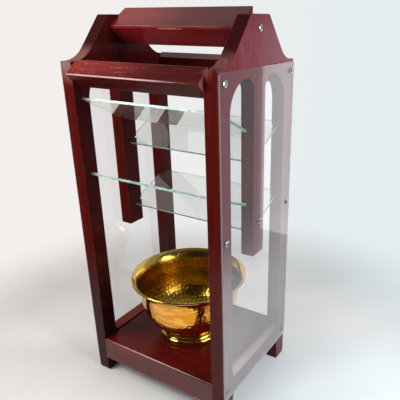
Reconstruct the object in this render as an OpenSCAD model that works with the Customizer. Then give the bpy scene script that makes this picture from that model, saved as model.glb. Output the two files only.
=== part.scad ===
// Table-top cascade stand: tilted glass panes between two gabled wooden sides, over a brass bowl.
// Millimetres. Origin on the floor at the middle of the stand, X to the right, Y to the back, Z up.

/* [Side boards] */
// Width of the stand over both side boards
frame_w = 236; // [230:1:250]
// Depth of the side boards from front to back
frame_d = 185; // [182:1:200]
// Thickness of a side board
board_t = 18; // [16:0.5:20]
// Height of the flat shoulder on top of the posts
shoulder_h = 475; // [474:1:480]
// Height of the flat top of the gable
gable_h = 530; // [526:1:534]
// Width of the flat top of the gable between its slopes
gable_top_w = 44; // [40:1:48]
// Angle of the gable slopes from level
gable_slope = 50; // [48:1:52]
// Radius of the cove between slope and shoulder
cove_r = 40; // [30:1:44]
// Rounding of the two top corners of the gable
gable_corner_r = 4; // [2:1:6]
// Depth of the front and back posts, and of the feet under them
post_d = 24; // [22:1:26]
// Depth of the centre stub that hangs between the slots
stub_d = 28; // [26:1:30]
// Height of the underside of the centre stub
stub_h = 226; // [220:1:232]
// Height of the crowns of the slot arches
crown_h = 461; // [458:1:462]
// Distance of a crown from the middle of the side
crown_y = 31; // [29:1:33]
// Height of the top edge of the bottom rail
rail_top_h = 62; // [61:0.5:70]
// Height of the lower edge of the bottom rail
rail_low_h = 38; // [34:1:40]
// Fillet in the bottom corners of the opening
opening_r = 8; // [4:1:12]
// Fillet where a foot meets the bottom rail
foot_fillet_r = 14; // [4:1:14]
// Rounding of the outer bottom corner of a foot
toe_r = 5; // [2:1:8]

/* [Bars and base] */
// Reach of the handle bar's narrow front ahead of the middle
handle_front = 21.5; // [20:0.5:22]
// Distance of the handle bar's flat back behind the middle
handle_back = 13.5; // [12:0.5:15]
// Height of the handle bar from its bottom edge to its ridge
handle_tall = 47; // [44:1:48]
// Height of the handle bar's narrow front
handle_nose = 4; // [3:0.5:6]
// Height of the middle of the handle bar
handle_h = 515; // [513:1:516]
// Rounding of the handle bar's edges
handle_r = 0.8; // [0.5:0.1:1.2]
// Side of the square top rails
rail_side = 24; // [22:1:24]
// Distance of a top rail's centre from the middle of the stand
rail_y = 85; // [84.5:0.5:86]
// Height of the centres of the top rails
rail_h = 460.5; // [458:0.5:461]
// Rounding of the top rails' edges
rail_r = 1.2; // [0.6:0.2:2]
// How far inside its centre a top rail is planed flat
rail_flat = 7.4; // [6.4:0.2:9]
// Height of the underside of the base board
base_low_h = 23; // [20:1:26]
// Height of the top of the base board
base_top_h = 60; // [58:1:62]
// Rounding of the base board's front and back edges
base_r = 2.5; // [1:0.5:4]

/* [Glass panes] */
// Thickness of the glass
glass_t = 3; // [2:0.5:4]
// Level run of a pane from its low edge to its high edge
pane_run = 80; // [76:1:80]
// Distance of a low edge from the middle of the stand
pane_low_y = 1; // [0.5:0.5:2]
// Tilt of the two upper panes
upper_tilt = 26; // [24:1:28]
// Tilt of the two lower panes
lower_tilt = 23; // [21:1:25]
// Height of the low edge of the upper front pane
upper_front_h = 388; // [384:1:390]
// Height of the low edge of the upper back pane
upper_back_h = 351; // [346:1:356]
// Height of the low edge of the lower front pane
lower_front_h = 291; // [286:1:296]
// Height of the low edge of the lower back pane
lower_back_h = 253; // [248:1:258]
// Depth of the kerfs in the inner faces of the sides
kerf_depth = 7.8; // [6:0.2:9]
// Room left across the glass and at the kerf ends
kerf_play = 0.4; // [0.2:0.1:0.6]

/* [Side panels] */
// Thickness of the clear side panels
panel_t = 2; // [1.5:0.5:3]
// How far the panel stays inside the board's front and back edges
panel_inset = 1; // [0.5:0.5:2]
// How far the panel stops below the shoulder
panel_drop = 3; // [2:1:6]
// Rounding of the panel's corners
panel_r = 5; // [3:1:8]

/* [Screws] */
// Radius of a screw head
head_r = 4; // [3.5:0.1:4.2]
// Height of a screw head
head_h = 1.8; // [1.6:0.1:2.4]
// Radius of a screw shank
shank_r = 1.75; // [1.5:0.05:2]
// Length of the screws that reach the rails, the base and the handle
long_screw = 40; // [34:1:44]
// Length of the short screws that only hold the panels
short_screw = 13; // [10:1:15]
// Distance of the post screws from the middle of the stand
screw_y = 81.5; // [81:0.5:82]
// Height of the screws that enter the top rails
rail_screw_h = 460.5; // [459:0.5:461]
// Height of the short screws at mid panel
mid_screw_h = 274; // [270:1:278]
// Height of the screws that enter the base board
base_screw_h = 48; // [46:1:50]

/* [Bowl] */
// Outer radius of the bowl over its rolled lip
bowl_r = 87.5; // [80:0.5:88]
// Height of the bowl over its rolled lip
bowl_h = 101.8; // [95:0.1:106]
// Thickness of the brass
brass_t = 1.4; // [1:0.1:2]
// Radius of the rolled lip
lip_r = 1.6; // [1.2:0.1:2]
// Outer radius of the foot ring
foot_r = 49; // [46:1:50]
// Height of the bead round the foot
foot_bead = 9; // [7:0.5:10]
// Distance of the bowl's axis in front of the middle of the stand
bowl_front = 2; // [0:1:4]

/* [Hidden] */
$fn = 96;
far = 1000;
cut = 1;
wood = [0.43, 0.12, 0.13];
wood_dark = [0.36, 0.10, 0.11];
brass = [0.83, 0.60, 0.22];
chrome = [0.80, 0.81, 0.83];
glass = [0.62, 0.80, 0.76, 0.45];
clear = [0.86, 0.87, 0.90, 0.30];

half_w = frame_w / 2;
half_d = frame_d / 2;
inner_x = half_w - board_t;
span = 2 * inner_x;
half_stub = stub_d / 2;
slot_out = half_d - post_d;
sweep_r = slot_out - crown_y;
turn_r = crown_y - half_stub;

// Gable geometry: slope, cove centre and the points where they touch
half_top = gable_top_w / 2;
slope_normal = [sin(gable_slope), cos(gable_slope)];
slope_reach = slope_normal * [half_top, gable_h];
cove_z = shoulder_h + cove_r;
cove_y = (slope_reach + cove_r - slope_normal.y * cove_z) / slope_normal.x;
cove_start = [cove_y, cove_z] - cove_r * slope_normal;
corner_tangent = gable_corner_r * tan(gable_slope / 2);
corner_y = half_top - corner_tangent;

pane_w = 2 * (inner_x + kerf_depth - kerf_play);
panel_y = half_d - panel_inset;
panel_top_h = shoulder_h - panel_drop;
clearance_r = shank_r + 0.2;
pilot_r = shank_r + 0.05;
panel_face = half_w + panel_t;
post_sides = [-1, 1];
rail_screw_spots = [for (s = post_sides) [s * screw_y, rail_screw_h]];
base_screw_spots = [for (s = post_sides) [s * screw_y, base_screw_h]];
mid_screw_spots = [[-screw_y, mid_screw_h], [0, mid_screw_h], [screw_y, mid_screw_h]];
handle_screw_spots = [[0, handle_h]];
panel_spots = concat(rail_screw_spots, base_screw_spots, mid_screw_spots);

// Outer bowl curve as two Bezier spans, as radius and height above the base board
bowl_bottom = [[0, 12], [48, 11.5], [69.5, 30], [73.3, 60]];
lip_end = [bowl_r - lip_r, bowl_h - lip_r];
bowl_wall = [[73.3, 60], [75.2, 75], [75.5, 95], lip_end];
curve_steps = 20;
function bezier(p, t) =
    pow(1 - t, 3) * p[0] + 3 * t * pow(1 - t, 2) * p[1] + 3 * t * t * (1 - t) * p[2] + pow(t, 3) * p[3];
function bezier_run(p, t) =
    3 * pow(1 - t, 2) * (p[1] - p[0]) + 6 * t * (1 - t) * (p[2] - p[1]) + 3 * t * t * (p[3] - p[2]);
function inward(d) = [-d.y, d.x] / norm(d);
function offset_curve(p, reach) =
    [for (i = [0 : curve_steps]) let (t = i / curve_steps) bezier(p, t) + reach * inward(bezier_run(p, t))];
function tail(v) = [for (i = [1 : len(v) - 1]) v[i]];
function reversed(v) = [for (i = [len(v) - 1 : -1 : 0]) v[i]];
bowl_outside = concat(offset_curve(bowl_bottom, 0), tail(offset_curve(bowl_wall, 0)));
bowl_inside = concat([[0, bowl_bottom[0].y + brass_t]], tail(offset_curve(bowl_bottom, brass_t)),
    tail(offset_curve(bowl_wall, brass_t)));

// Foot ring: a round bead with a narrow flat to stand on, under an upright neck
foot_flat = 0.6;
foot_wall = 3;
bead_r = (foot_bead + foot_flat) / 2;
bead_h = bead_r - foot_flat;
neck_r = foot_r - bead_r;
neck_h = 22;

// A flat outline in depth and height, made solid along X
module along_x(start, length) {
    translate([start, 0, 0]) rotate([90, 0, 90]) linear_extrude(length) children();
}

module left_and_right(side) {
    if (side == "left") mirror([1, 0, 0]) children();
    else children();
}

// A rectangle from low to high corner with rounded corners
module rounded_box(low, high, r) {
    size = high - low;
    translate(low + [r, 0]) square([size.x - 2 * r, size.y]);
    translate(low + [0, r]) square([size.x, size.y - 2 * r]);
    for (x = [low.x + r, high.x - r], y = [low.y + r, high.y - r]) translate([x, y]) circle(r);
}

// A flat outline rolled round circles at its corners, given by their centres, anticlockwise
function outward(a, b) = [b.y - a.y, a.x - b.x] / norm(b - a);
module rounded_outline(centres, r) {
    n = len(centres);
    polygon([for (i = [0 : n - 1])
        let (here = centres[i], before = centres[(i + n - 1) % n], after = centres[(i + 1) % n])
        each [here + r * outward(before, here), here + r * outward(here, after)]]);
    for (p = centres) translate(p) circle(r);
}

// Outer outline of a side board: posts, feet, coves and gable
module board_outline() {
    translate([-half_d, toe_r]) square([frame_d, shoulder_h - toe_r]);
    translate([toe_r - half_d, 0]) square([frame_d - 2 * toe_r, shoulder_h]);
    for (s = post_sides) translate([s * (half_d - toe_r), toe_r]) circle(toe_r);
    difference() {
        polygon([[-cove_y, shoulder_h], [cove_y, shoulder_h], [cove_y, cove_start.y], cove_start,
            [half_top + corner_tangent * cos(gable_slope), gable_h - corner_tangent * sin(gable_slope)],
            [corner_y, gable_h], [-corner_y, gable_h],
            [-half_top - corner_tangent * cos(gable_slope), gable_h - corner_tangent * sin(gable_slope)],
            [-cove_start.x, cove_start.y], [-cove_y, cove_start.y]]);
        for (s = post_sides) translate([s * cove_y, cove_z]) circle(cove_r);
    }
    for (s = post_sides) translate([s * corner_y, gable_h - gable_corner_r]) circle(gable_corner_r);
}

// The arch of a slot sweeps wide from the post up to its crown and turns tightly down to the stub
module arched_slot() {
    translate([half_stub, stub_h - cut]) square([slot_out - half_stub, crown_h - sweep_r - stub_h + cut]);
    translate([half_stub, crown_h - sweep_r - cut]) square([2 * turn_r, sweep_r - turn_r + cut]);
    translate([crown_y, crown_h - turn_r]) circle(turn_r);
    intersection() {
        translate([crown_y, crown_h - sweep_r]) circle(sweep_r);
        translate([crown_y, crown_h - sweep_r - cut]) square(sweep_r + 2 * cut);
    }
}

// The openings in a side board: arched slots, wide bay under the stub, gap between the feet
module board_openings() {
    for (s = post_sides) mirror([s < 0 ? 1 : 0, 0]) arched_slot();
    translate([-slot_out, rail_top_h + opening_r]) square([2 * slot_out, stub_h - rail_top_h - opening_r]);
    rounded_box([-slot_out, rail_top_h], [slot_out, stub_h], opening_r);
    translate([-slot_out, -cut]) square([2 * slot_out, rail_low_h - foot_fillet_r + cut]);
    rounded_box([-slot_out, -far], [slot_out, rail_low_h], foot_fillet_r);
}

// A pane lies from its low edge near the middle up to the front or the back post
module pane_place(low_h, tilt, to_front) {
    mirror([0, to_front ? 1 : 0, 0]) translate([0, pane_low_y, low_h]) rotate([tilt, 0, 0]) children();
}

module pane(low_h, tilt, to_front) {
    color(glass) pane_place(low_h, tilt, to_front)
        translate([-pane_w / 2, 0, 0]) cube([pane_w, pane_run / cos(tilt), glass_t]);
}

module kerf(low_h, tilt, to_front) {
    pane_place(low_h, tilt, to_front)
        translate([inner_x - cut, 0, 0])
            cube([kerf_depth + cut, pane_run / cos(tilt) + kerf_play, glass_t + kerf_play]);
}

module kerfs() {
    kerf(upper_front_h, upper_tilt, true);
    kerf(upper_back_h, upper_tilt, false);
    kerf(lower_front_h, lower_tilt, true);
    kerf(lower_back_h, lower_tilt, false);
}

// Holes along X at a list of places in depth and height
module holes(spots, start, length, r) {
    for (p = spots) translate([start, p.x, p.y]) rotate([0, 90, 0]) cylinder(h = length, r = r);
}

module side_board() {
    color(wood) difference() {
        along_x(inner_x, board_t) difference() {
            board_outline();
            board_openings();
        }
        kerfs();
        holes(concat(rail_screw_spots, base_screw_spots, handle_screw_spots), inner_x - cut,
            board_t + 2 * cut, clearance_r);
        holes(mid_screw_spots, half_w - short_screw, short_screw + cut, pilot_r);
    }
}

module left_side_board() { left_and_right("left") side_board(); }
module right_side_board() { left_and_right("right") side_board(); }

// Pilot holes in both ends of a bar that spans the two sides
module end_pilots(spots, depth) {
    for (side = ["left", "right"]) left_and_right(side) holes(spots, inner_x - depth, depth + cut, pilot_r);
}

module base_board() {
    color(wood_dark) difference() {
        along_x(-inner_x, span) rounded_box([-half_d, base_low_h], [half_d, base_top_h], base_r);
        end_pilots(base_screw_spots, long_screw);
    }
}

// A square bar set on edge, centred on the origin
module bar_on_edge(side, r) {
    rotate(45) rounded_box([-side / 2, -side / 2], [side / 2, side / 2], r);
}

// A three-cornered bar with its edge to the front blunted and a flat back
module handle_bar() {
    front = handle_r - handle_front;
    nose = handle_nose / 2 - handle_r;
    back = handle_back - handle_r;
    rise = handle_tall / 2 - handle_r;
    color(wood) difference() {
        along_x(-inner_x, span) translate([0, handle_h])
            rounded_outline([[front, nose], [front, -nose], [back, -rise], [back, rise]], handle_r);
        end_pilots(handle_screw_spots, long_screw);
    }
}

module back_rail_solid() {
    difference() {
        along_x(-inner_x, span) translate([rail_y, rail_h]) difference() {
            bar_on_edge(rail_side, rail_r);
            translate([-rail_side - rail_flat, -rail_side]) square([rail_side, 2 * rail_side]);
        }
        end_pilots(rail_screw_spots, long_screw);
    }
}

module front_top_rail() { color(wood) mirror([0, 1, 0]) back_rail_solid(); }
module back_top_rail() { color(wood) back_rail_solid(); }

module upper_front_pane() { pane(upper_front_h, upper_tilt, true); }
module upper_back_pane() { pane(upper_back_h, upper_tilt, false); }
module lower_front_pane() { pane(lower_front_h, lower_tilt, true); }
module lower_back_pane() { pane(lower_back_h, lower_tilt, false); }

module side_panel() {
    color(clear) difference() {
        along_x(half_w, panel_t) rounded_box([-panel_y, rail_low_h], [panel_y, panel_top_h], panel_r);
        holes(panel_spots, half_w - cut, panel_t + 2 * cut, clearance_r);
    }
}

module left_side_panel() { left_and_right("left") side_panel(); }
module right_side_panel() { left_and_right("right") side_panel(); }

// Pan-head screw with a cross recess, its head standing on the plane z = 0
module pan_screw(length) {
    rim_h = head_h / 3;
    dome_h = head_h - rim_h;
    dome_r = (head_r * head_r + dome_h * dome_h) / (2 * dome_h);
    recess_w = head_r / 4;
    recess_l = head_r * 1.1;
    tip_l = 2 * shank_r;
    difference() {
        rotate_extrude() {
            square([head_r, rim_h]);
            intersection() {
                translate([0, rim_h]) square([head_r, dome_h]);
                translate([0, head_h - dome_r]) circle(dome_r);
            }
        }
        for (turn = [45, 135]) rotate(turn)
            translate([-recess_l / 2, -recess_w / 2, rim_h]) cube([recess_l, recess_w, head_h]);
    }
    translate([0, 0, tip_l - length]) cylinder(h = length - tip_l, r = shank_r);
    translate([0, 0, -length]) cylinder(h = tip_l, r1 = shank_r / 4, r2 = shank_r);
}

module screws(side, spots, face, length) {
    color(chrome) left_and_right(side)
        for (p = spots) translate([face, p.x, p.y]) rotate([0, 90, 0]) pan_screw(length);
}

module left_rail_screws() { screws("left", rail_screw_spots, panel_face, long_screw); }
module right_rail_screws() { screws("right", rail_screw_spots, panel_face, long_screw); }
module left_base_screws() { screws("left", base_screw_spots, panel_face, long_screw); }
module right_base_screws() { screws("right", base_screw_spots, panel_face, long_screw); }
module left_panel_screws() { screws("left", mid_screw_spots, panel_face, short_screw); }
module right_panel_screws() { screws("right", mid_screw_spots, panel_face, short_screw); }
module left_handle_screw() { screws("left", handle_screw_spots, half_w, long_screw); }
module right_handle_screw() { screws("right", handle_screw_spots, half_w, long_screw); }

// The bowl's parts turn about an upright axis on top of the base board
module on_base() {
    translate([0, -bowl_front, base_top_h]) children();
}

module bowl_shell() {
    color(brass) on_base() rotate_extrude() {
        polygon(concat(bowl_outside, reversed(bowl_inside)));
        translate(lip_end) circle(lip_r);
    }
}

module bowl_foot_ring() {
    color(brass) on_base() rotate_extrude() difference() {
        union() {
            translate([neck_r, bead_h]) circle(bead_r);
            translate([neck_r - foot_wall, bead_h]) square([foot_wall, neck_h]);
        }
        translate([0, -foot_bead]) square([far, foot_bead]);
        polygon(concat(bowl_outside, [[0, bowl_h]]));
    }
}

left_side_board();
right_side_board();
base_board();
handle_bar();
front_top_rail();
back_top_rail();
upper_front_pane();
upper_back_pane();
lower_front_pane();
lower_back_pane();
left_side_panel();
right_side_panel();
left_rail_screws();
right_rail_screws();
left_base_screws();
right_base_screws();
left_panel_screws();
right_panel_screws();
left_handle_screw();
right_handle_screw();
bowl_shell();
bowl_foot_ring();
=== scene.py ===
import logging
import math
from dataclasses import dataclass
from enum import Enum
from typing import Sequence, Union

import bpy
import numpy as np
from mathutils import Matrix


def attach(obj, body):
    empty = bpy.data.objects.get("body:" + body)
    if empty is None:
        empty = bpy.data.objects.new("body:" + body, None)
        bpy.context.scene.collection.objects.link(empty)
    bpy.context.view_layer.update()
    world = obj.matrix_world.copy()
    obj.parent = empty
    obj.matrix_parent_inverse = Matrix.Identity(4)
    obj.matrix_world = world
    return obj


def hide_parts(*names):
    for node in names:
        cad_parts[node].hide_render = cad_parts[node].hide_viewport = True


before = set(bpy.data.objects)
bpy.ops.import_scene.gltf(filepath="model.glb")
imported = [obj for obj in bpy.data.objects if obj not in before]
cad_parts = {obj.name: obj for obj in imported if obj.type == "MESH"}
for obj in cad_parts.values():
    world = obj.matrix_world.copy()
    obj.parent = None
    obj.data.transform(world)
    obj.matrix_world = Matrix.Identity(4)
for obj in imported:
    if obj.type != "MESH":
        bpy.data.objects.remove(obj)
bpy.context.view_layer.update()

log = logging.getLogger("cascade_stand")

Socket = bpy.types.NodeSocket
Value = Union[float, Sequence[float], Socket]
Colour = tuple[float, float, float]
Point = tuple[float, float, float]

# Directions, in the stand's own axes
RIGHT: Point = (1.0, 0.0, 0.0)
FRONT: Point = (0.0, -1.0, 0.0)
UP: Point = (0.0, 0.0, 1.0)
UNDER: Point = (0.0, -0.52, -0.85)

# A pattern that is not drawn out, and light or glass without colour
EVEN: Point = (1.0, 1.0, 1.0)
WHITE: Colour = (1.0, 1.0, 1.0)

# Attributes of the bowl's meshes that the brass reads
BLOW = "blow"
PATINA = "patina"
RIM = "rim"

# Factors that scatter pairs of whole numbers
SCATTER = (12.9898, 78.233, 43758.5453)


def tint(red: int, green: int, blue: int) -> Colour:
    """A colour as the eye names it, turned into the linear numbers that shaders take.

    The darkest levels are divided by 12.92, and the others follow a power of 2.4.

    Args:
        red, green, blue: Screen levels from 0 to 255.

    Returns:
        The linear colour.
    """
    level = np.array([red, green, blue]) / 255.0
    linear = np.where(level <= 0.04045, level / 12.92, ((level + 0.055) / 1.055) ** 2.4)
    return tuple(float(c) for c in linear)


@dataclass(frozen=True)
class Step:
    """A smooth step from one value to another.

    Attributes:
        low, high: The stretch of what is measured over which the step is made.
        start, end: The results at its two ends.
    """

    low: float
    high: float
    start: float = 0.0
    end: float = 1.0


@dataclass(frozen=True)
class Cloud:
    """A cloudy noise from 0 to 1.

    Attributes:
        scale: Lumps per metre.
        detail: Octaves on top of the first.
        rough: How strong each further octave is.
    """

    scale: float
    detail: float = 2.0
    rough: float = 0.5


class NodeSheet:
    """A node tree under construction, with one short call for each kind of node that the finishes use."""

    def __init__(self, tree: bpy.types.NodeTree) -> None:
        """Empties the tree.

        Args:
            tree: A material's or the world's node tree.
        """
        self.tree = tree
        tree.nodes.clear()

    def put(self, socket: Socket, value: Value) -> None:
        """Links a socket to another, or sets its constant.

        Args:
            socket: The input to feed.
            value: An output socket, a number or a colour.
        """
        if isinstance(value, bpy.types.NodeSocket):
            self.tree.links.new(value, socket)
        elif socket.type == "RGBA":
            socket.default_value = (*value, 1.0)
        else:
            socket.default_value = value

    def add(self, kind: str, **inputs: Value) -> bpy.types.Node:
        """Adds a node and feeds its inputs by name.

        Args:
            kind: The node's type without its ShaderNode prefix.
            inputs: Input names, with spaces as underscores, and what feeds them.

        Returns:
            The node.
        """
        node = self.tree.nodes.new("ShaderNode" + kind)
        for name, value in inputs.items():
            self.put(node.inputs[name.replace("_", " ")], value)
        return node

    def operate(self, kind: str, operation: str, values: Sequence[Value]) -> bpy.types.Node:
        """Adds a node that works on its inputs in order.

        Args:
            kind: The node's type without its ShaderNode prefix.
            operation: The node's word for what it does.
            values: Its operands.

        Returns:
            The node.
        """
        node = self.add(kind)
        node.operation = operation
        for socket, value in zip(node.inputs, values):
            self.put(socket, value)
        return node

    def math(self, operation: str, *values: Value) -> Socket:
        """The result of a number operation."""
        return self.operate("Math", operation, values).outputs["Value"]

    def vector(self, operation: str, *values: Value) -> Socket:
        """The result of a vector operation that gives a vector."""
        return self.operate("VectorMath", operation, values).outputs["Vector"]

    def length(self, vector: Value) -> Socket:
        """The length of a vector."""
        return self.operate("VectorMath", "LENGTH", (vector,)).outputs["Value"]

    def dot(self, first: Value, second: Value) -> Socket:
        """The dot product of two vectors."""
        return self.operate("VectorMath", "DOT_PRODUCT", (first, second)).outputs["Value"]

    def times(self, first: Value, second: Value, *others: Value) -> Socket:
        """The product of two or more numbers.

        Args:
            first, second: The first two factors.
            others: The other factors.

        Returns:
            The output socket.
        """
        product = self.math("MULTIPLY", first, second)
        for factor in others:
            product = self.math("MULTIPLY", product, factor)
        return product

    def step(self, value: Value, way: Step) -> Socket:
        """What a smooth step gives.

        Args:
            value: What is measured.
            way: The step.

        Returns:
            The output socket.
        """
        node = self.add("MapRange", Value=value, From_Min=way.low, From_Max=way.high,
                        To_Min=way.start, To_Max=way.end)
        node.interpolation_type = "SMOOTHSTEP"
        return node.outputs["Result"]

    def blend(self, share: Value, first: Value, second: Value) -> Socket:
        """A mix of two colours.

        Args:
            share: How much of the second.
            first, second: The colours.

        Returns:
            The output socket.
        """
        node = self.tree.nodes.new("ShaderNodeMix")
        node.data_type = "RGBA"
        share_at, first_at, second_at, result_at = 0, 6, 7, 2
        self.put(node.inputs[share_at], share)
        self.put(node.inputs[first_at], first)
        self.put(node.inputs[second_at], second)
        return node.outputs[result_at]

    def ramp(self, share: Value, stops: Sequence[tuple[float, Colour]]) -> Socket:
        """A colour read off a row of stops.

        Args:
            share: Where to read it.
            stops: Places from 0 to 1 and their colours.

        Returns:
            The output socket.
        """
        node = self.add("ValToRGB", Fac=share)
        row = node.color_ramp.elements
        while len(row) < len(stops):
            row.new(0.5)
        for element, (place, colour) in zip(row, stops):
            element.position = place
            element.color = (*colour, 1.0)
        return node.outputs["Color"]

    def noise(self, place: Socket, cloud: Cloud) -> Socket:
        """Cloudy noise from 0 to 1.

        Args:
            place: The coordinates it is read at.
            cloud: The kind of noise.

        Returns:
            The output socket.
        """
        node = self.add("TexNoise", Vector=place, Scale=cloud.scale, Detail=cloud.detail,
                        Roughness=cloud.rough)
        return node.outputs["Fac"]

    def place(self, factors: Point = EVEN) -> Socket:
        """Object coordinates multiplied axis by axis.

        Args:
            factors: The factors along X, Y and Z.

        Returns:
            The output socket.
        """
        own = self.add("TexCoord").outputs["Object"]
        return self.add("Mapping", Vector=own, Scale=factors).outputs["Vector"]

    def own_normal(self) -> Socket:
        """The way a face looks in the piece's own axes."""
        return self.add("TexCoord").outputs["Normal"]

    def axes(self, vector: Socket) -> bpy.types.NodeOutputs:
        """The X, Y and Z of a vector."""
        return self.add("SeparateXYZ", Vector=vector).outputs

    def attribute(self, name: str) -> Socket:
        """A number stored with the points of the mesh, 0 where the mesh has none.

        Args:
            name: The attribute's name.

        Returns:
            The output socket.
        """
        node = self.add("Attribute")
        node.attribute_name = name
        return node.outputs["Fac"]

    def bump(self, height: Socket, depth: float, normal: Union[Socket, None] = None) -> Socket:
        """A normal tilted by a height pattern.

        Args:
            height: The pattern from 0 to 1.
            depth: What 1 stands for, in metres.
            normal: The normal to tilt, or None for the surface's own.

        Returns:
            The output socket.
        """
        node = self.add("Bump", Height=height, Distance=depth, Strength=1.0)
        if normal is not None:
            self.put(node.inputs["Normal"], normal)
        return node.outputs["Normal"]

    def near_face(self) -> Socket:
        """One on the face where a ray enters a clear sheet and 0 on the face where it leaves."""
        return self.math("SUBTRACT", 1.0, self.add("NewGeometry").outputs["Backfacing"])

    def thin_mirror(self, index: float) -> Socket:
        """What a thin clear sheet mirrors, all of it at the near face.

        Where one face mirrors a share F, the two together mirror 2F / (1 + F).

        Args:
            index: The refractive index.

        Returns:
            The output socket.
        """
        single = self.add("Fresnel", IOR=index).outputs["Fac"]
        both = self.math("DIVIDE", self.times(single, 2.0), self.math("ADD", single, 1.0))
        return self.times(both, self.near_face())

    def shader(self, kind: str, **inputs: Value) -> Socket:
        """The output of a shader whose inputs are fed by name.

        Args:
            kind: The node's type without its ShaderNode prefix.
            inputs: Input names, with spaces as underscores, and what feeds them.

        Returns:
            The output socket.
        """
        return self.add(kind, **inputs).outputs[0]

    def mix(self, share: Value, first: Socket, second: Socket) -> Socket:
        """A mix of two shaders.

        Args:
            share: How much of the second.
            first, second: The shaders.

        Returns:
            The output socket.
        """
        node = self.add("MixShader", Fac=share)
        _, first_at, second_at = node.inputs
        self.put(first_at, first)
        self.put(second_at, second)
        return node.outputs[0]

    def surface(self, shader: Socket) -> None:
        """Sends a shader to the material's output."""
        self.add("OutputMaterial", Surface=shader)


def new_sheet(name: str) -> tuple[bpy.types.Material, NodeSheet]:
    """A new material with an empty node tree.

    Args:
        name: The material's name.

    Returns:
        The material and its node sheet.
    """
    material = bpy.data.materials.new(name)
    material.use_nodes = True
    return material, NodeSheet(material.node_tree)


def new_piece(name: str, mesh: bpy.types.Mesh) -> bpy.types.Object:
    """An object for a mesh, in the scene and at the origin.

    Args:
        name: The object's name.
        mesh: Its mesh.

    Returns:
        The object.
    """
    piece = bpy.data.objects.new(name, mesh)
    bpy.context.scene.collection.objects.link(piece)
    return piece


def dress(piece: bpy.types.Object, material: bpy.types.Material) -> None:
    """Gives a piece one material all over.

    Args:
        piece: The piece.
        material: Its new material.
    """
    piece.data.materials.clear()
    piece.data.materials.append(material)


def dress_nodes(names: Sequence[str], material: bpy.types.Material) -> None:
    """Gives CAD nodes a material.

    Args:
        names: The nodes.
        material: Their new material.
    """
    for name in names:
        dress(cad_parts[name], material)
        log.info("%s dressed in %s", name, material.name)


class Grain(Enum):
    """The way a board's fibres run, as how much its pattern is drawn out along X, Y and Z."""

    UPRIGHT = (1.0, 1.0, 0.035)
    ACROSS = (0.035, 1.0, 1.0)

    @property
    def axis(self) -> tuple[float, ...]:
        """The direction of the fibres."""
        return tuple(float(stretch < 0.5) for stretch in self.value)


@dataclass(frozen=True)
class EdgeWearAndGlint:
    """A stretch of an edge along X in one colour: a bare spot where the finish is gone, or a painted
    highlight line where light glints along it.

    Attributes:
        middle: Its middle along X, in metres.
        full, gone: How far from the middle it is at full strength, and how far from it it is gone.
        depth, height: The edge's place along Y and Z.
        reach: How far from the edge it goes.
        shade: The colour that shows.
        ragged: How torn its border is, from 0 to 1.
    """

    middle: float
    full: float
    gone: float
    depth: float
    height: float
    reach: float
    shade: Colour
    ragged: float


@dataclass(frozen=True)
class ScuffAndSheen:
    """A patch of paler colour with fine pale strokes along the grain; on some pieces it is stain thinned by
    handling, on others painted sheen or painted light.

    Attributes:
        middle: Its middle, in metres.
        half: Half its length along X, Y and Z.
        shade: The patch's colour, of thinned stain or of painted sheen or light.
        wash: How strongly that colour is laid on, from 0 to 1.
        strokes: How pale the strokes are, from 0 to 1; they stand for scratches and for painted glints along
            the pores.
        looks: The way the faces it lies on look.
    """

    middle: Point
    half: Point
    shade: Colour
    wash: float
    strokes: float
    looks: Point = UP


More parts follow.
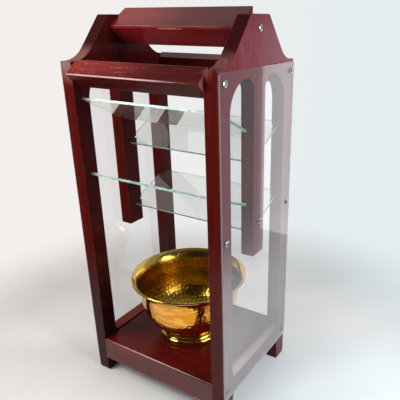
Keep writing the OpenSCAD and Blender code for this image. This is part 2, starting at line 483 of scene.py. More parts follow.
@dataclass(frozen=True)
class StainedWood:
    """Open-pored hardwood in red-brown stain, paler along its edges from wear and a painted highlight, and
    darker on end grain.

    A satin varnish lies over it. Faces that look into the stand are painted darker, as shade, and hardly
    varnished; faces that look out of it are painted lighter, as light.

    Attributes:
        name: The material's name.
        grain: The way the fibres run.
        edge_stretches: Stretches of edge that are bare, or painted with a highlight line.
        scuffs_and_sheens: Patches of thinned stain, painted sheen or painted light, with pale strokes.
        painted_shade: How much painted shade darkens the wood towards the floor, from 0 to 1.
        gloss: How much clear varnish lies over the stain on faces across X, Y and Z, from 0 to 1.
        dark, middle, light: The stain from its darkest streaks to its lightest.
        soaked_and_shade, outer_light: The darker stain of end grain, also laid on inner faces and towards the
            floor as painted shade; and the paler tone of outer faces, which is painted light.
        rubbed_sheen, stroke: The wood along its edges, where wear and a painted highlight lie; and in the
            pale strokes of a patch, which stand for scratches and painted glints.
        tones: Where on the grain's pattern the three tones of the stain lie.
        figure, streak, pore: The three patterns of the grain.
        figure_share: How much of the tone comes from the figure, the rest coming from the streaks.
        pore_stain, pore_hole: How dark and how deep the pores are.
        pore_depth, streak_rise: The depth of a pore in metres, and a streak's height as a share of it.
        end_soak, inner_shade, outer_light_share: How much darker the stain is on end grain, and how much
            painted shade and painted light lie on faces that look into and out of the stand.
        shade_top, shade_full: The heights between which the painted shade sets in.
        edge_round, edge_samples: Radius within which an edge is paler, and how finely it is found.
        edge_patches, edge_patch_tone, edge_turn: The patches of the paler edges, how strong they are, and how
            far an edge must turn.
        patch_faces, patch_border: How squarely a face must look the patch's way, and how the patch fades out.
        line, line_seen, gap, gap_seen: The strokes of a patch, and the gaps in them.
        tear, tear_reach: The torn border of a stretch of edge, and how far it wanders as a share of its
            reach.
        solid_share: The share of a stretch's reach within which it is at full strength.
        matt: The stain's roughness on streaks and between them.
        under_coat, inner_coat, end_coat: How much varnish is on undersides, inner faces and end grain.
        coat_matt: The varnish's roughness.
    """

    name: str
    grain: Grain
    edge_stretches: tuple[EdgeWearAndGlint, ...] = ()
    scuffs_and_sheens: tuple[ScuffAndSheen, ...] = ()
    painted_shade: float = 0.0
    gloss: Point = (0.7, 0.4, 0.5)
    dark: Colour = tint(64, 11, 9)
    middle: Colour = tint(84, 18, 14)
    light: Colour = tint(102, 24, 18)
    # Darker end-grain stain, also laid on as painted shade; then the paler outer tone, which is painted light
    soaked_and_shade: Colour = tint(37, 14, 17)
    outer_light: Colour = tint(118, 27, 58)
    # Paler edges from wear and a painted highlight; pale strokes for scratches and painted glints
    rubbed_sheen: Colour = tint(172, 92, 80)
    stroke: Colour = tint(214, 150, 142)
    tones: Point = (0.31, 0.5, 0.71)
    figure: Cloud = Cloud(42.0, 3.0, 0.55)
    streak: Cloud = Cloud(260.0, 2.0, 0.6)
    pore: Cloud = Cloud(1250.0, 1.0)
    figure_share: float = 0.55
    pore_stain: Step = Step(0.56, 0.70, 0.0, 0.5)
    pore_hole: Step = Step(0.56, 0.72)
    pore_depth: float = 0.00005
    streak_rise: float = 0.4
    end_soak: Step = Step(0.2, 0.7, 0.0, 0.8)
    # Painted shade on faces into the stand and towards the floor, painted light on faces out of it
    inner_shade: Step = Step(-0.03, -0.08, 0.0, 0.5)
    outer_light_share: Step = Step(0.05, 0.1, 0.0, 0.3)
    shade_top: float = 0.23
    shade_full: float = 0.11
    edge_round: float = 0.0012
    edge_samples: int = 6
    edge_patches: Cloud = Cloud(85.0, 3.0, 0.6)
    edge_patch_tone: Step = Step(0.40, 0.66, 0.1, 0.7)
    edge_turn: Step = Step(0.03, 0.24)
    patch_faces: Step = Step(0.1, 0.4)
    patch_border: Step = Step(1.0, 0.3)
    line: Cloud = Cloud(900.0, 3.0, 0.75)
    line_seen: Step = Step(0.50, 0.66)
    gap: Cloud = Cloud(330.0, 2.0, 0.6)
    gap_seen: Step = Step(0.42, 0.60)
    tear: Cloud = Cloud(420.0, 3.0, 0.7)
    tear_reach: float = 1.6
    solid_share: float = 0.65
    matt: Step = Step(0.3, 0.7, 0.34, 0.46)
    under_coat: Step = Step(-0.87, -0.6, 0.12, 1.0)
    inner_coat: Step = Step(-0.08, -0.03, 0.3, 1.0)
    end_coat: Step = Step(0.2, 0.7, 1.0, 0.4)
    coat_matt: float = 0.14

    def material(self) -> bpy.types.Material:
        """Figure, streaks and pores are noises drawn out along the grain; edges come from a rounded normal.

        Returns:
            The material.
        """
        material, sheet = new_sheet(self.name)
        along = sheet.place(self.grain.value)
        plain = sheet.place()
        streak = sheet.noise(along, self.streak)
        pore = sheet.noise(along, self.pore)
        figured = sheet.times(sheet.noise(along, self.figure), self.figure_share)
        tone = sheet.math("ADD", figured, sheet.times(streak, 1.0 - self.figure_share))
        colour = sheet.ramp(tone, tuple(zip(self.tones, (self.dark, self.middle, self.light))))
        colour = sheet.blend(sheet.step(pore, self.pore_stain), colour, self.dark)

        # Faces told apart by the way they look: end grain, into the stand, out of it
        flat = sheet.add("NewGeometry").outputs["Normal"]
        axes = sheet.axes(plain)
        outward = sheet.times(sheet.dot(flat, RIGHT), axes["X"])
        end_grain = sheet.math("ABSOLUTE", sheet.dot(flat, self.grain.axis))
        end_soak = sheet.step(end_grain, self.end_soak)
        dull = sheet.math("MAXIMUM", end_soak, sheet.step(outward, self.inner_shade))
        # End grain takes the darker stain; faces that look into the stand take it too, as painted shade
        colour = sheet.blend(dull, colour, self.soaked_and_shade)
        # Painted light: faces that look out of the stand are paler
        colour = sheet.blend(sheet.step(outward, self.outer_light_share), colour, self.outer_light)
        # Painted shade: the wood darkens towards the floor
        low_dust_and_shade = Step(self.shade_top, self.shade_full, 0.0, self.painted_shade)
        colour = sheet.blend(sheet.step(axes["Z"], low_dust_and_shade), colour, self.soaked_and_shade)

        # Paler edges (wear and painted highlight), then the patches and edge stretches, partly painted sheen
        # and light
        rounded = sheet.add("Bevel", Radius=self.edge_round)
        rounded.samples = self.edge_samples
        round_normal = rounded.outputs["Normal"]
        turn = sheet.math("SUBTRACT", 1.0, sheet.dot(round_normal, flat))
        patchy = sheet.step(sheet.noise(plain, self.edge_patches), self.edge_patch_tone)
        edge = sheet.times(sheet.step(turn, self.edge_turn), patchy)
        colour = sheet.blend(edge, colour, self.rubbed_sheen)
        for patch in self.scuffs_and_sheens:
            faces = sheet.step(sheet.dot(flat, patch.looks), self.patch_faces)
            colour = sheet.blend(faces, colour, self.scuffed_and_lit(sheet, colour, along, plain, patch))
        for spot in self.edge_stretches:
            colour = sheet.blend(self.edge_stretch_share(sheet, plain, spot), colour, spot.shade)

        # The varnish, and the relief of streaks and pores under it
        rise = sheet.times(streak, self.streak_rise)
        relief = sheet.math("SUBTRACT", rise, sheet.step(pore, self.pore_hole))
        normal = sheet.bump(relief, self.pore_depth, round_normal)
        coat = sheet.times(
            sheet.dot(sheet.vector("ABSOLUTE", flat), self.gloss),
            sheet.step(sheet.dot(flat, UP), self.under_coat),
            sheet.step(outward, self.inner_coat),
            sheet.step(end_grain, self.end_coat),
        )
        sheet.surface(sheet.shader(
            "BsdfPrincipled", Base_Color=colour, Roughness=sheet.step(streak, self.matt), Normal=normal,
            Coat_Weight=coat, Coat_Normal=normal, Coat_Roughness=self.coat_matt, Specular_IOR_Level=0.0))
        return material

    def scuffed_and_lit(self, sheet: NodeSheet, colour: Socket, along: Socket, place: Socket, patch: ScuffAndSheen) -> Socket:
        """The colour with a patch laid over it, thinned stain or painted sheen or light, which fades out
        towards the border of an egg shape.

        Args:
            sheet: The material's node sheet.
            colour: The colour under it.
            along: Coordinates drawn out along the grain.
            place: Object coordinates.
            patch: The patch of thinned stain or painted sheen or light.

        Returns:
            The output socket.
        """
        scaled = sheet.vector("DIVIDE", sheet.vector("SUBTRACT", place, patch.middle), patch.half)
        inside = sheet.step(sheet.length(scaled), self.patch_border)
        line = sheet.step(sheet.noise(along, self.line), self.line_seen)
        broken = sheet.step(sheet.noise(place, self.gap), self.gap_seen)
        stroke = sheet.times(line, broken, inside, patch.strokes)
        washed = sheet.blend(sheet.times(inside, patch.wash), colour, patch.shade)
        return sheet.blend(stroke, washed, self.stroke)

    def edge_stretch_share(self, sheet: NodeSheet, place: Socket, spot: EdgeWearAndGlint) -> Socket:
        """One on the stretch of edge, bare or painted with a highlight: near the edge's line and its middle,
        with a border torn by a noise.

        Args:
            sheet: The material's node sheet.
            place: Object coordinates.
            spot: The stretch of edge.

        Returns:
            The output socket.
        """
        from_middle = sheet.vector("SUBTRACT", place, (spot.middle, spot.depth, spot.height))
        off_line = sheet.length(sheet.vector("MULTIPLY", from_middle, (0.0, 1.0, 1.0)))
        along = sheet.length(sheet.vector("MULTIPLY", from_middle, RIGHT))
        sway = Step(0.0, 1.0, -0.5 * spot.ragged, 0.5 * spot.ragged)
        torn = sheet.step(sheet.noise(place, self.tear), sway)
        near = sheet.math("ADD", off_line, sheet.times(torn, self.tear_reach * spot.reach))
        inside = sheet.math("ADD", along, sheet.times(torn, spot.gone))
        bare = sheet.step(near, Step(spot.reach, self.solid_share * spot.reach))
        return sheet.times(bare, sheet.step(inside, Step(spot.gone, spot.full)))


class Slope(Enum):
    """The way a pane rises from its low edge, as the sign of Y towards its high edge."""

    TO_FRONT = -1.0
    TO_BACK = 1.0


@dataclass(frozen=True)
class PaneGlass:
    """Clear float glass, mirroring and a little dusty on its faces and sea green where it is cut.

    Attributes:
        name: The material's name.
        slope: The way the pane rises.
        tilt: How steep it is.
        index: The refractive index.
        body, dust: The colours of the glass seen through, and of the dust on it.
        cut, deep, end: The colours of a long cut edge, of the ripples in it, and of a short cut edge.
        flat: How squarely a face must look along the pane's own normal not to be a cut edge.
        smear, smear_matt: The smears on the faces, and their roughness.
        film: How much the dust hides, by how much the pane mirrors.
        ripple, ripple_stretch, ripple_tone, ripple_depth: The ripples of the cut edges.
        end_tone: How the short edges are told from the long ones.
        far_edge: How much of a cut edge shows from within the glass.
        edge_matt: Roughness of the cut edges.
    """

    name: str
    slope: Slope
    tilt: float = math.radians(24.5)
    index: float = 1.52
    body: Colour = (0.955, 0.968, 0.96)
    dust: Colour = tint(216, 208, 200)
    cut: Colour = tint(178, 204, 198)
    deep: Colour = tint(108, 158, 151)
    end: Colour = tint(98, 146, 122)
    flat: float = 0.6
    smear: Cloud = Cloud(55.0, 3.0, 0.6)
    smear_matt: Step = Step(0.45, 0.75, 0.01, 0.06)
    film: Step = Step(0.05, 0.4, 0.05, 0.3)
    ripple: Cloud = Cloud(500.0, 2.0)
    ripple_stretch: Point = (0.3, 1.0, 1.0)
    ripple_tone: Step = Step(0.35, 0.65)
    ripple_depth: float = 0.00015
    end_tone: Step = Step(0.5, 0.9)
    far_edge: Step = Step(0.0, 1.0, 0.25, 1.0)
    edge_matt: float = 0.28

    def material(self) -> bpy.types.Material:
        """Faces and cut edges are told apart by how far the normal lies from the pane's own plane.

        The dust hides more of what lies behind it where the pane is seen from a low angle, as its mirroring
        does.

        Returns:
            The material.
        """
        material, sheet = new_sheet(self.name)
        upright = (0.0, -self.slope.value * math.sin(self.tilt), math.cos(self.tilt))
        normal = sheet.own_normal()
        facing = sheet.math("ABSOLUTE", sheet.dot(normal, upright))
        clear = sheet.shader("BsdfTransparent", Color=self.body)

        # The two faces: clear glass, a film of dust, and what they mirror
        share = sheet.thin_mirror(self.index)
        film = sheet.times(sheet.step(share, self.film), sheet.near_face())
        lit_specks = sheet.shader("BsdfDiffuse", Color=self.dust)
        specks = sheet.mix(0.5, lit_specks, sheet.shader("BsdfTranslucent", Color=self.dust))
        smeared = sheet.step(sheet.noise(sheet.place(), self.smear), self.smear_matt)
        mirror = sheet.shader("BsdfGlossy", Color=WHITE, Roughness=smeared)
        face = sheet.mix(share, sheet.mix(film, clear, specks), mirror)

        # The cut edges: rippled sea green
        ripple = sheet.noise(sheet.place(self.ripple_stretch), self.ripple)
        green = sheet.blend(sheet.step(ripple, self.ripple_tone), self.deep, self.cut)
        is_end = sheet.math("ABSOLUTE", sheet.dot(normal, RIGHT))
        green = sheet.blend(sheet.step(is_end, self.end_tone), green, self.end)
        edge = sheet.shader("BsdfPrincipled", Base_Color=green, Roughness=self.edge_matt, IOR=self.index,
                            Normal=sheet.bump(ripple, self.ripple_depth))
        rim = sheet.mix(sheet.step(sheet.near_face(), self.far_edge), clear, edge)
        sheet.surface(sheet.mix(sheet.math("LESS_THAN", facing, self.flat), face, rim))
        return material


@dataclass(frozen=True)
class ClearSheet:
    """Polished clear plastic with fine scuff marks, bright sawn edges and a haze of dust that thickens
    downwards.

    Attributes:
        name: The material's name.
        dust: How much of the haze there is, from 0 to 1.
        index: The refractive index.
        body, haze: The colours of the plastic seen through, and of the dust on it.
        saw_marks, rim: The colours of the sawn edges.
        flat: How squarely a face must look along X not to be a sawn edge.
        scuff, scuff_stretch, scuff_veil, scuff_matt: The scuff marks, how much they hide, and their
        roughness.
        cloud, cloud_veil, sunk: The clouds of dust, how much they hide, and how they thin out upwards.
        saw, saw_depth, edge_matt: The saw marks, their depth and their roughness.
    """

    name: str
    dust: float
    index: float = 1.49
    body: Colour = (0.95, 0.95, 0.955)
    haze: Colour = tint(225, 228, 232)
    saw_marks: Colour = tint(150, 152, 150)
    rim: Colour = tint(176, 177, 174)
    flat: float = 0.6
    scuff: Cloud = Cloud(900.0, 2.0, 0.7)
    scuff_stretch: Point = (1.0, 0.25, 1.0)
    scuff_veil: Step = Step(0.66, 0.76, 0.0, 0.10)
    scuff_matt: Step = Step(0.5, 0.75, 0.02, 0.12)
    cloud: Cloud = Cloud(14.0, 3.0, 0.6)
    cloud_veil: Step = Step(0.3, 0.7, 0.12, 0.17)
    sunk: Step = Step(0.14, 0.32, 1.0, 0.06)
    saw: Cloud = Cloud(1500.0, 1.0)
    saw_depth: float = 0.00008
    edge_matt: float = 0.25

    def material(self) -> bpy.types.Material:
        """Faces look along X, so a normal away from X marks a sawn edge or a screw hole.

        Returns:
            The material.
        """
        material, sheet = new_sheet(self.name)
        facing = sheet.math("ABSOLUTE", sheet.dot(sheet.own_normal(), RIGHT))
        place = sheet.place()
        scuff = sheet.noise(sheet.place(self.scuff_stretch), self.scuff)
        clouds = sheet.step(sheet.noise(place, self.cloud), self.cloud_veil)
        low_dust_and_shade = sheet.times(clouds, sheet.step(sheet.axes(place)["Z"], self.sunk))
        veil = sheet.math("ADD", low_dust_and_shade, sheet.step(scuff, self.scuff_veil))
        veil = sheet.times(veil, sheet.times(sheet.near_face(), self.dust))
        clear = sheet.shader("BsdfTransparent", Color=self.body)
        window = sheet.mix(veil, clear, sheet.shader("BsdfDiffuse", Color=self.haze))
        mirror = sheet.shader("BsdfGlossy", Color=WHITE, Roughness=sheet.step(scuff, self.scuff_matt))
        face = sheet.mix(sheet.thin_mirror(self.index), window, mirror)
        saw = sheet.noise(place, self.saw)
        edge = sheet.shader("BsdfPrincipled", Base_Color=sheet.blend(saw, self.saw_marks, self.rim),
                            Roughness=self.edge_matt, Normal=sheet.bump(saw, self.saw_depth))
        sheet.surface(sheet.mix(sheet.math("LESS_THAN", facing, self.flat), face, edge))
        return material


@dataclass(frozen=True)
class PlatedSteel:
    """Bright plated steel with turning marks, a little dulling, and painted shade round the rim of the head.

    Attributes:
        name: The material's name.
        bright, dull, painted_shade: The plating, its dull spots, and the painted shade round the rim.
        spots, spot_tone, spot_matt: The dull spots, where they show, and their roughness.
        rim_tone: How far a face must turn from X to take the painted shade.
        marks, mark_depth: The turning marks and their depth.
    """

    name: str
    bright: Colour = tint(214, 214, 216)
    dull: Colour = tint(150, 148, 146)
    painted_shade: Colour = tint(48, 46, 45)
    spots: Cloud = Cloud(700.0, 3.0, 0.6)
    spot_tone: Step = Step(0.42, 0.68)
    spot_matt: Step = Step(0.3, 0.7, 0.12, 0.3)
    rim_tone: Step = Step(0.85, 0.5)
    marks: Cloud = Cloud(2600.0, 1.0)
    mark_depth: float = 0.00002

    def material(self) -> bpy.types.Material:
        """Metal with dull spots and turning marks, and painted shade where the head turns down to its rim.

        Returns:
            The material.
        """
        material, sheet = new_sheet(self.name)
        place = sheet.place()
        spots = sheet.noise(place, self.spots)
        colour = sheet.blend(sheet.step(spots, self.spot_tone), self.bright, self.dull)
        facing = sheet.math("ABSOLUTE", sheet.dot(sheet.own_normal(), RIGHT))
        # Painted shade: a dark ring where the head turns down to its rim
        colour = sheet.blend(sheet.step(facing, self.rim_tone), colour, self.painted_shade)
        marks = sheet.noise(place, self.marks)
        sheet.surface(sheet.shader(
            "BsdfPrincipled", Base_Color=colour, Metallic=1.0, Roughness=sheet.step(spots, self.spot_matt),
            Normal=sheet.bump(marks, self.mark_depth)))
        return material


@dataclass(frozen=True)
class Brass:
    """Lacquered brass, a little brown with age; inside the bowl the hammer blows are painted paler in their
    middle and darker on the ridges between them, as painted light and shade.

    Attributes:
        name: The material's name.
        polish: Roughness of the best polished places.
        bright, amber, aged: The outside of the bowl, its amber streaks and its tarnish.
        hollow, shaded_ridge: The tarnished inside of the bowl, painted paler in the blows and darker between
            them, as painted light and shade.
        rubbed_sheen: The lip and the foot.
        drawn, drawn_stretch, drawn_tone: The streaks outside.
        tarnish, tarnish_tone: The clouds of tarnish.
        tarnish_seen, tarnish_matt: Where tarnish dulls the polish, and how much.
        blow_tone: How far up its side a blow is as bright as in its middle.
        patina_matt: How much duller the inside is.
        ripple, ripple_depth: The uneven surface.
        scratch, scratch_depth: The marks of polishing.
        lacquer, lacquer_matt: How much lacquer there is, and its roughness.
    """

    name: str
    polish: float
    bright: Colour = (0.97, 0.50, 0.09)
    amber: Colour = (0.84, 0.31, 0.015)
    aged: Colour = (0.50, 0.18, 0.02)
    hollow: Colour = (0.74, 0.45, 0.055)
    shaded_ridge: Colour = (0.42, 0.22, 0.018)
    rubbed_sheen: Colour = (0.72, 0.47, 0.09)
    drawn: Cloud = Cloud(42.0, 2.0, 0.5)
    drawn_stretch: Point = (1.0, 1.0, 3.0)
    drawn_tone: Step = Step(0.4, 0.62)
    tarnish: Cloud = Cloud(38.0, 4.0, 0.6)
    tarnish_tone: Step = Step(0.48, 0.74, 0.0, 0.5)
    tarnish_seen: tuple[float, float] = (0.35, 0.75)
    tarnish_matt: float = 0.12
    blow_tone: Step = Step(0.05, 0.6)
    patina_matt: float = 0.12
    ripple: Cloud = Cloud(130.0, 2.0, 0.5)
    ripple_depth: float = 0.00022
    scratch: Cloud = Cloud(900.0, 2.0, 0.6)
    scratch_depth: float = 0.000006
    lacquer: float = 0.3
    lacquer_matt: float = 0.12

    def material(self) -> bpy.types.Material:
        """Metal that reads three attributes of its mesh.

        Blow is 1 in the middle of a blow, patina is 1 inside the bowl, rim is 1 on its lip and on the foot.

        Returns:
            The material.
        """
        material, sheet = new_sheet(self.name)
        place = sheet.place()
        patina = sheet.attribute(PATINA)
        tarnish = sheet.noise(place, self.tarnish)
        drawn = sheet.noise(sheet.place(self.drawn_stretch), self.drawn)
        colour = sheet.blend(sheet.step(drawn, self.drawn_tone), self.amber, self.bright)
        colour = sheet.blend(sheet.step(tarnish, self.tarnish_tone), colour, self.aged)
        # Inside: blows painted paler in their middle and darker between, painted light and shade of the dents
        hammered = sheet.blend(sheet.step(sheet.attribute(BLOW), self.blow_tone), self.shaded_ridge, self.hollow)
        colour = sheet.blend(patina, colour, hammered)
        colour = sheet.blend(sheet.attribute(RIM), colour, self.rubbed_sheen)
        dulled = Step(*self.tarnish_seen, self.polish, self.polish + self.tarnish_matt)
        matt = sheet.math("ADD", sheet.step(tarnish, dulled), sheet.times(patina, self.patina_matt))
        uneven = sheet.bump(sheet.noise(place, self.ripple), self.ripple_depth)
        normal = sheet.bump(sheet.noise(place, self.scratch), self.scratch_depth, uneven)
        sheet.surface(sheet.shader(
            "BsdfPrincipled", Base_Color=colour, Metallic=1.0, Roughness=matt, Normal=normal,
            Coat_Weight=self.lacquer, Coat_Roughness=self.lacquer_matt, Coat_Normal=normal))
        return material


def turned_mesh(name: str, radius: np.ndarray, height: np.ndarray, centre: Point) -> bpy.types.Mesh:
    """A mesh turned about an upright axis from a grid of radii and heights.

    Point (i, j) is at (r cos a, r sin a, h) with a = 2 pi j / n. Rows follow the profile so that the outside
    of the metal is on their right. A first and last row of radius 0 are poles and become one point each;
    otherwise the profile is a closed loop and its last row joins its first.

    Args:
        name: The mesh's name.
        radius: Radii, one row for each profile point and one column for each angle.
        height: Heights, of the same shape.
        centre: Where the axis stands, and the height that is counted from.

    Returns:
        The mesh, in metres.
    """
    rows, n = radius.shape
    angle = 2 * np.pi * np.arange(n) / n
    grid = np.stack([radius * np.cos(angle), radius * np.sin(angle), height], axis=-1) + np.asarray(centre)
    index = np.arange(rows * n).reshape(rows, n)
    poles = not radius[0].any()
    below = index[:-1] if poles else index
    above = index[1:] if poles else np.roll(index, -1, axis=0)
    quads = np.stack([below, np.roll(below, -1, 1), np.roll(above, -1, 1), above], axis=-1).reshape(-1, 4)
    if poles:
        first, last = 0, rows * n - 1
        quads = np.where(quads < n, first, np.where(quads >= (rows - 1) * n, last, quads))

    # A quad at a pole has two corners in one point, so it loses one of them
    corners = np.ones_like(quads, dtype=bool)
    corners[:, 1] = quads[:, 1] != quads[:, 0]
    corners[:, 3] = quads[:, 3] != quads[:, 2]
    sizes = corners.sum(axis=1)
    kept = np.unique(quads)
    renumber = np.zeros(rows * n, dtype=np.int64)
    renumber[kept] = np.arange(len(kept))
    mesh = bpy.data.meshes.new(name)
    mesh.vertices.add(len(kept))
    mesh.vertices.foreach_set("co", grid.reshape(-1, 3)[kept].astype(np.float32).ravel())
    mesh.loops.add(int(sizes.sum()))
    mesh.loops.foreach_set("vertex_index", renumber[quads[corners]].astype(np.int32))
    mesh.polygons.add(len(sizes))
    mesh.polygons.foreach_set("loop_start", (np.cumsum(sizes) - sizes).astype(np.int32))
    mesh.polygons.foreach_set("use_smooth", np.ones(len(sizes), dtype=bool))
    mesh.update(calc_edges=True)
    mesh.validate()
    return mesh


def store(mesh: bpy.types.Mesh, name: str, values: np.ndarray) -> None:
    """Stores one number with each point of a mesh.

    Args:
        mesh: The mesh.
        name: The attribute's name.
        values: The numbers, in the order of the points.
    """
    attribute = mesh.attributes.new(name, "FLOAT", "POINT")
    attribute.data.foreach_set("value", values.astype(np.float32))


def scattered(first: np.ndarray, second: np.ndarray) -> np.ndarray:
    """A share from 0 to 1 for each pair of whole numbers, as if drawn by lot but the same in every run.

    It is what follows the point in a large multiple of the sine of a sum of the two.

    Args:
        first, second: The numbers.

    Returns:
        The shares.
    """
    by_first, by_second, spread = SCATTER
    mixed = np.sin(by_first * first + by_second * second) * spread
    return mixed - np.floor(mixed)


def pulled_curve(points: Sequence[Sequence[float]], count: int) -> np.ndarray:
    """Points on a cubic curve from the first of four points to the last, pulled towards the two between.

    At t from 0 to 1 the four points weigh (1 - t)^3, 3 t (1 - t)^2, 3 t^2 (1 - t) and t^3.

    Args:
        points: The four points.
        count: How many points to give, at even steps of t.

    Returns:
        An array of count points.
    """
    t = np.linspace(0.0, 1.0, count)[:, None]
    weights = np.hstack([(1 - t) ** 3, 3 * t * (1 - t) ** 2, 3 * t ** 2 * (1 - t), t ** 3])
    return weights @ np.array(points)


def distance_along(path: np.ndarray) -> np.ndarray:
    """How far along a path each of its points lies.

    Args:
        path: Its points.

    Returns:
        One distance for each point.
    """
    return np.concatenate([[0.0], np.cumsum(np.linalg.norm(np.diff(path, axis=0), axis=1))])


def even_steps(path: np.ndarray, count: int) -> np.ndarray:
    """A path read again at even distances along itself.

    Args:
        path: Its points.
        count: How many points to give.

    Returns:
        An array of count points.
    """
    run = distance_along(path)
    places = np.linspace(0.0, run[-1], count)
    return np.stack([np.interp(places, run, path[:, k]) for k in (0, 1)], axis=1)


def left_of(path: np.ndarray) -> np.ndarray:
    """Unit normals on the left of a path.

    Args:
        path: Its points.

    Returns:
        One normal for each point.
    """
    along = np.gradient(path, axis=0)
    return np.stack([-along[:, 1], along[:, 0]], axis=1) / np.linalg.norm(along, axis=1)[:, None]


def arc(centre: Sequence[float], radius: float, angles: np.ndarray) -> np.ndarray:
    """Points on a circle.

    Args:
        centre: Its middle.
        radius: Its radius.
        angles: Where on it the points lie, in radians.

    Returns:
        One point for each angle.
    """
    return np.asarray(centre) + radius * np.stack([np.cos(angles), np.sin(angles)], axis=1)


@dataclass(frozen=True)
class TurnedFoot:
    """The foot soldered under the bowl, as sizes of its section from the axis and from the board.

    Attributes:
        inside: Radius of its hollow.
        inside_low, inside_high: Heights between which the hollow is straight.
        tread: The two corners of the ring it stands on.
        bead, bead_radius: The middle and the radius of the round bead.
        bead_from, bead_to: The angles between which the bead runs, in degrees.
        waist, waist_height: Radius and height of the narrowest place.
        flare, flare_height: How much wider the waist is at that height above or below its narrowest place.
        waist_low, waist_high: Heights between which the waist runs.
        around, bead_rows, waist_rows, inside_rows: How finely it is made.
    """

    inside: float = 0.0412
    inside_low: float = 0.0012
    inside_high: float = 0.0168
    tread: tuple[tuple[float, float], ...] = ((0.0416, 0.0002), (0.0420, 0.0))
    bead: tuple[float, float] = (0.0442, 0.0042)
    bead_radius: float = 0.0048
    bead_from: float = -61.0
    bead_to: float = 78.0
    waist: float = 0.0426
    waist_height: float = 0.0132
    flare: float = 0.0024
    flare_height: float = 0.0046
    waist_low: float = 0.0090
    waist_high: float = 0.0184
    around: int = 180
    bead_rows: int = 24
    waist_rows: int = 18
    inside_rows: int = 12

    def build(self, centre: Point) -> bpy.types.Object:
        """A closed loop turned about the axis: flat tread, round bead, hollow waist, straight inside.

        The waist's radius is waist + flare w^2, where w counts flare heights from its narrowest place.

        Args:
            centre: Where the bowl stands.

        Returns:
            The foot's object.
        """
        swing = np.radians(np.linspace(self.bead_from, self.bead_to, self.bead_rows))
        bead = arc(self.bead, self.bead_radius, swing)
        rise = np.linspace(self.waist_low, self.waist_high, self.waist_rows)
        hollow = self.waist + self.flare * ((rise - self.waist_height) / self.flare_height) ** 2
        waist = np.stack([hollow, rise], axis=1)
        drop = np.linspace(self.inside_high, self.inside_low, self.inside_rows)
        back = np.stack([np.full(self.inside_rows, self.inside), drop], axis=1)
        loop = np.vstack([bead, waist, back, self.tread])[::-1]
        radius = np.repeat(loop[:, :1], self.around, axis=1)
        height = np.repeat(loop[:, 1:], self.around, axis=1)
        mesh = turned_mesh("turned_foot", radius, height, centre)
        store(mesh, RIM, np.ones(len(mesh.vertices)))
        return new_piece("turned_foot", mesh)


